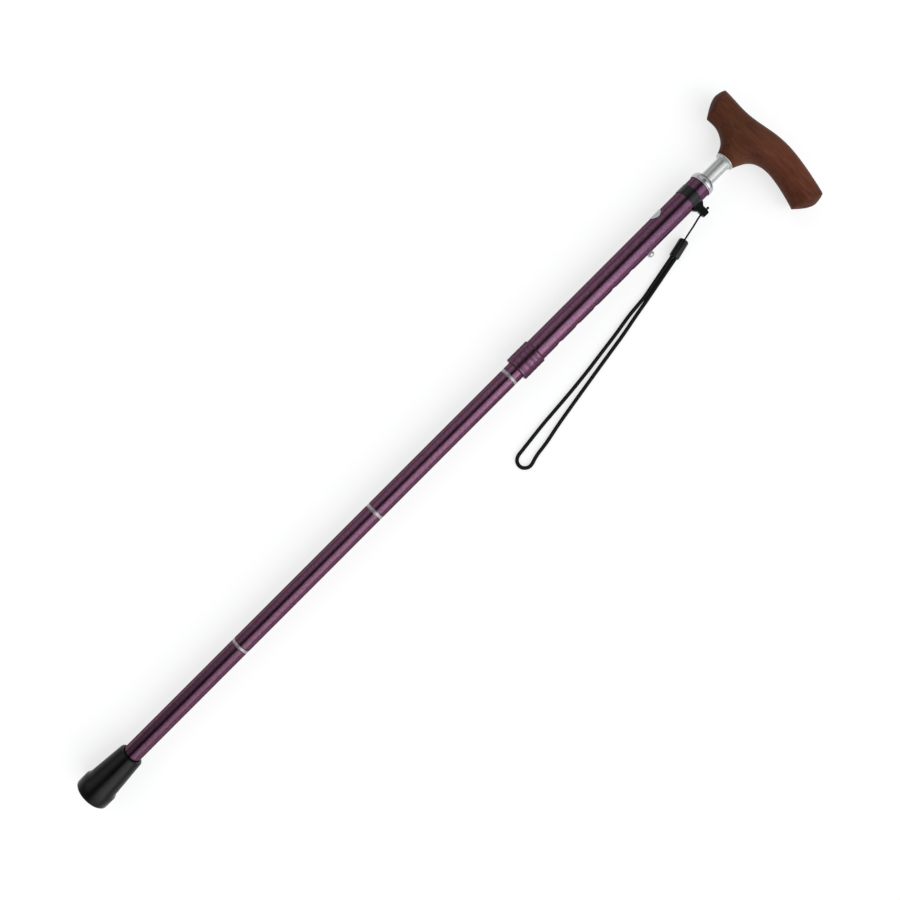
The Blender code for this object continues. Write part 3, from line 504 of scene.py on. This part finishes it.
def swept(name, points, radius_at, sides):
    """A closed tube along points. radius_at gives its radius by length run and angle."""
    bm = bmesh.new()
    tangents = [
        (points[min(i + 1, len(points) - 1)] - points[max(i - 1, 0)]).normalized()
        for i in range(len(points))
    ]
    across = tangents[0].orthogonal().normalized()
    rings = []
    run = 0.0
    for i, (point, tangent) in enumerate(zip(points, tangents)):
        if i:
            run += (point - points[i - 1]).length
            across = tangents[i - 1].rotation_difference(tangent) @ across
        side = tangent.cross(across)
        ring = []
        for k in range(sides):
            angle = 2 * math.pi * k / sides
            outward = across * math.cos(angle) + side * math.sin(angle)
            ring.append(bm.verts.new(point + outward * radius_at(run, angle)))
        rings.append(ring)
    bridge(bm, rings)
    bm.faces.new(reversed(rings[0]))
    bm.faces.new(rings[-1])
    bmesh.ops.recalc_face_normals(bm, faces=bm.faces)
    return smooth_mesh(name, bm)


def braid(radius, strands, pitch, depth):
    """Radius of a braid: two sets of strands that cross, each one over and then under."""

    def at(run, angle):
        right = strands * angle / (2 * math.pi) + run / pitch
        left = strands * angle / (2 * math.pi) - run / pitch
        ridge_right = abs(math.sin(math.pi * right))
        ridge_left = abs(math.sin(math.pi * left))
        over = (math.floor(right) + math.floor(left)) % 2
        top = ridge_right if over else ridge_left
        under = ridge_left if over else ridge_right
        return radius - depth * (1 - max(top, UNDER_HEIGHT * under))

    return at


def twist(radius, strands, pitch, depth):
    """Radius of a twisted string."""

    def at(run, angle):
        return radius - depth * abs(math.cos(strands * angle / 2 + math.pi * run / pitch))

    return at


def on_strap(point):
    """A place on the strap, in the frame."""
    return Vector((STRAP + point[0], AXIS.y + point[1], point[2]))


# Pieces


def sleeve(node, bevel, look):
    """A plain length of tube with small bevels round its ends."""
    length, outer = round_size(node)
    bore = outer - TUBE_WALL
    outline = [
        (length, outer - END_DROP),
        (length - bevel, outer),
        (bevel, outer),
        (0, outer - END_DROP),
        (0, bore),
        (length, bore),
    ]
    turned(node, outline, look)


def shaft(paint, steel, aluminium):
    """The tubes, with the rings and inserts of the folding joints."""
    for number in (1, 2, 3):
        sleeve(f"tube_section_{number + 1}", SECTION_BEVEL, paint)
        sleeve(f"joint_ring_{number}", RING_BEVEL, steel)
        softened(f"connector_{number}", aluminium)
    for node in ("inner_tube", "upper_tube"):
        shade_round(softened(node, paint))


def lock_collar(look):
    """The collar, with the shallow rings that are turned into it."""
    length, outer = round_size("lock_collar")
    outline = [(length - place, outer - depth) for place, depth in COLLAR_END]
    for middle in COLLAR_GROOVES:
        outline += [(middle + place, outer - depth) for place, depth in GROOVE]
    outline += [(place, outer - depth) for place, depth in reversed(COLLAR_END)]
    outline += [
        (0, COLLAR_LIP_BORE),
        (COLLAR_LIP, COLLAR_LIP_BORE),
        (COLLAR_LIP, COLLAR_BORE),
        (length, COLLAR_BORE),
    ]
    turned("lock_collar", outline, look)


def cap(look):
    """The domed cap, with its lip and the bore that takes the head of the upper tube."""
    length, outer = round_size("neck_cap")
    outline = []
    for i in range(DOME_STEPS + 1):
        angle = math.radians(90 * i / DOME_STEPS)
        rise = (length - CAP_BAND) * math.cos(angle)
        outline.append((CAP_BAND + rise, NECK_RADIUS + (outer - NECK_RADIUS) * math.sin(angle)))
    outline += [(place, outer - depth) for place, depth in CAP_LIP]
    outline += [(0, CAP_BORE), (CAP_SKIRT, CAP_BORE), (CAP_SKIRT, STUD_BORE), (length, STUD_BORE)]
    turned("neck_cap", outline, look)


def wrist_loop(look, bead):
    """The braided cord, from the bead's foot round and back to it."""
    foot = on_strap(BEAD_FOOT)
    down = (foot - on_strap(BEAD_TOP)).normalized()
    across = Vector((-down.y, down.x, 0)) * (BRAID_RADIUS + STRAND_GAP / 2)
    leave = foot + down * LOOP_START
    bends = [on_strap(point) for point in LOOP_ROUTE]
    route = along([leave - across, *bends, leave + across], LOOP_STEP)
    cover = braid(BRAID_RADIUS + BRAID_LOFT, strands=8, pitch=0.0016, depth=0.00018)
    loop = shown(swept("wrist_loop_look", route, cover, sides=24), look, "wrist_loop")


def strap_string(look):
    """The twisted string, from its knot through the strap ring's eye into the bead."""
    route = along([on_strap(point) for point in STRING_ROUTE], STRING_STEP)
    twisted = twist(STRING_RADIUS, strands=3, pitch=0.0012, depth=0.0001)
    string = shown(swept("strap_string_look", route, twisted, sides=16), look, "strap_string")
    knot = softened("string_knot", look)


def spring_clip(look):
    """The bent strip, as a piece that rides on no body."""
    clip = softened("snap_clip", look, rides=False)
    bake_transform(clip)


def knotted(low, high, knot):
    """Radius of the elastic by its place along the shaft and the angle, with a knot at each end."""
    cover = braid(ELASTIC_RADIUS, strands=10, pitch=0.003, depth=0.00012)

    def at(place, angle):
        near = min(place - low, high - place)
        ball = math.sqrt(max(0, knot**2 - (near - knot) ** 2))
        return max(ball, KNOT_END if near < knot else cover(place - low, angle))

    return at


def elastic_length(number, start, stop, radius_at, look):
    """One length of the elastic, as a piece that rides on no body."""
    count = round((stop - start) / ELASTIC_STEP)
    points = [Vector((start + (stop - start) * i / count, AXIS.y, AXIS.z)) for i in range(count + 1)]
    name = f"elastic_cord_look_{number + 1}"
    mesh = swept(name, points, lambda run, angle: radius_at(start + run, angle), sides=20)
    length = shown(mesh, look, "elastic_cord", rides=False)
    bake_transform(length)


def elastic(look):
    """The elastic inside the shaft, with its woven cover and its two knots.

    It is made in three lengths that meet inside the sections.
    """
    low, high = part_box("elastic_cord")
    knot = (high.y - low.y) / 2
    ends = [low.x]
    for node in ("tube_section_3", "tube_section_2"):
        foot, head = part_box(node)
        ends.append((foot.x + head.x) / 2)
    ends.append(high.x)
    radius_at = knotted(low.x, high.x, knot)
    for number, (start, stop) in enumerate(zip(ends, ends[1:])):
        elastic_length(number, start, stop, radius_at, look)


def build():
    """Every piece, in its material."""
    paint = lacquer()
    steel = metal("bright steel", ((0.34, 0.295, 0.318), (0.45, 0.39, 0.425)), (0.36, 0.50))
    aluminium = metal("turned aluminium", ((0.55, 0.55, 0.56), (0.68, 0.68, 0.69)), (0.28, 0.42))
    chrome = metal(
        "chrome",
        colours=((0.46, 0.46, 0.48), (0.54, 0.54, 0.56)),
        roughness=(0.24, 0.30),
        stretch=(300, 900, 900),
        detail=3,
        depth=0.0,
    )
    satin = metal(
        "satin chrome",
        colours=(0.32, (0.76, 0.77, 0.77)),
        roughness=(0.46, 0.56),
        stretch=(8, 620, 620),
        detail=3,
        depth=0.00006,
    )
    nylon = moulded("natural nylon", ((0.68, 0.66, 0.60), (0.76, 0.74, 0.69)), (0.42, 0.55))
    plastic = moulded("black plastic", (0.002, 0.006), (0.24, 0.34), shine=0.3)
    rubber = moulded("black rubber", (0.001, 0.003), (0.22, 0.30), shine=0.18)
    label = moulded("silver paper", ((0.62, 0.63, 0.64), (0.78, 0.79, 0.80)), (0.25, 0.4))

    shaft(paint, steel, aluminium)
    lock_collar(paint)
    cap(chrome)
    softened("handle", wood(), sharp=50)
    round_edges(softened("rubber_tip", rubber), TIP_EDGE)
    wrist_loop(yarn("black braid", (0.003, 0.018)), bead=softened("strap_bead", plastic))
    strap_string(yarn("black string", (0.003, 0.009)))
    elastic(yarn("white elastic", ((0.55, 0.55, 0.53), (0.75, 0.75, 0.73))))
    spring_clip(steel)
    plain_pieces = {
        "neck_cup": satin,
        "snap_button": chrome,
        "strap_ring": plastic,
        "blank_label": label,
        "handle_stud": steel,
        "plug_pin": steel,
        "anchor_pin": steel,
        "tip_washer": steel,
        "top_anchor": plastic,
        "foot_anchor": plastic,
        "wedge_ring": nylon,
        "guide_bush": nylon,
        "tube_plug": aluminium,
    }
    for node, look in plain_pieces.items():
        softened(node, look)


# Stage


def floor():
    """A plain floor. Where it is seen straight or in a reflection, it is lifted to white."""
    bpy.ops.mesh.primitive_plane_add(size=FLOOR_SIZE)
    plane = bpy.context.object
    plane.name = "floor"
    look = bpy.data.materials.new("white floor")
    look.use_nodes = True
    tree = look.node_tree
    tree.nodes.clear()
    paths = add_node(tree, "ShaderNodeLightPath").outputs
    seen = maths(tree, "MAXIMUM", paths["Is Camera Ray"], paths["Is Glossy Ray"])
    seen = maths(tree, "MAXIMUM", seen, paths["Is Transmission Ray"])
    matt = add_node(tree, "ShaderNodeBsdfDiffuse", {"Color": (FLOOR_GREY, FLOOR_GREY, FLOOR_GREY, 1)})
    glow = add_node(tree, "ShaderNodeEmission", {"Strength": maths(tree, "MULTIPLY", seen, FLOOR_LIFT)})
    both = add_node(tree, "ShaderNodeAddShader", {0: matt.outputs[0], 1: glow.outputs[0]})
    add_node(tree, "ShaderNodeOutputMaterial", {"Surface": both.outputs[0]})
    plane.data.materials.append(look)


def studio():
    """Soft light from both sides of the shaft, with a dim gap between them overhead.

    Each side changes in brightness along the shaft. Near the horizon and past the shaft's ends the
    sky is plain.
    """
    world = bpy.data.worlds.new("studio")
    bpy.context.scene.world = world
    world.use_nodes = True
    tree = world.node_tree
    tree.nodes.clear()
    x, y, z = add_node(tree, "ShaderNodeSeparateXYZ", {0: place_on(tree, "Generated")}).outputs
    turn = share_of(tree, maths(tree, "ARCTAN2", y, z), -math.pi / 2, math.pi / 2)
    run = share_of(tree, x, *SHAFT_SPAN)
    side = share_of(tree, turn, *SIDES_MEET)
    fade = blended(tree, side, ramp(tree, run, BRIGHT_SIDE), ramp(tree, run, DIM_SIDE))
    lit = product(tree, ramp(tree, turn, SKY_ROUND, "EASE"), fade)
    past_ends = share_of(tree, maths(tree, "ABSOLUTE", x), *PAST_ENDS, "SMOOTHSTEP")
    near_horizon = share_of(tree, z, *NEAR_HORIZON, "SMOOTHSTEP")
    plain = maths(tree, "MAXIMUM", past_ends, near_horizon)
    sky = blended(tree, plain, lit, (PLAIN_SKY, PLAIN_SKY, PLAIN_SKY, 1))
    light = add_node(tree, "ShaderNodeBackground", {"Color": sky, "Strength": SKY_STRENGTH})
    add_node(tree, "ShaderNodeOutputWorld", {"Surface": light.outputs[0]})


def camera():
    """The camera of the photograph, and plain colours in the picture."""
    lens = bpy.data.cameras.new("camera")
    lens.lens = CAMERA_LENS
    view = bpy.data.objects.new("camera", lens)
    turn = Matrix.Rotation(math.radians(CAMERA_TURN), 4, "Z")
    view.matrix_world = Matrix.Translation(CAMERA_PLACE) @ turn
    bpy.context.scene.collection.objects.link(view)
    bpy.context.scene.camera = view
    bpy.context.scene.view_settings.view_transform = "Standard"


camera()
build()
floor()
studio()
